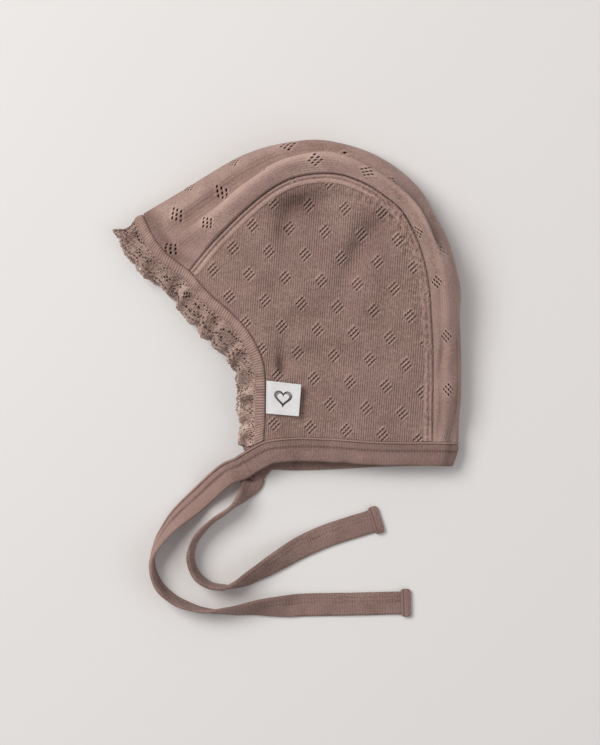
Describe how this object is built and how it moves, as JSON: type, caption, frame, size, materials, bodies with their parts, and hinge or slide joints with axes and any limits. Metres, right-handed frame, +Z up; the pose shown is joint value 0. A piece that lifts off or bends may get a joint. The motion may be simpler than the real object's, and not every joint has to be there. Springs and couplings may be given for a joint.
{
  "type": "baby bonnet",
  "caption": "Soft rib-knit baby bonnet lying on its side, with a crown gusset between two side panels, a lace edge round the face, a neck binding and two free ties.",
  "frame": {"origin": "a point on the flat underside of the far side panel, level with the middle of the bonnet, on the surface that it lies on", "axes": "+X from the face opening to the nape, +Y from the neck to the crown, +Z up from the surface that the bonnet lies on"},
  "size_m": [0.1729, 0.2377, 0.0281],
  "materials": {
    "knit": "matte fine rib knit with small openwork diamonds, dusty mauve brown",
    "ribbed_edge": "matte ribbed cotton binding, dusty mauve brown",
    "lace": "matte cotton lace, a little lighter than the knit",
    "label_cloth": "smooth white woven tape"
  },
  "bodies": {
    "root": {"side_panel_near": "knit", "side_panel_far": "knit", "crown_gusset": "knit", "front_band": "ribbed_edge", "lace_trim": "lace", "neck_binding": "ribbed_edge", "tie_near": "ribbed_edge", "tie_far": "ribbed_edge", "tie_end_near": "ribbed_edge", "tie_end_far": "ribbed_edge", "label": "label_cloth"}
  },
  "joints": []
}
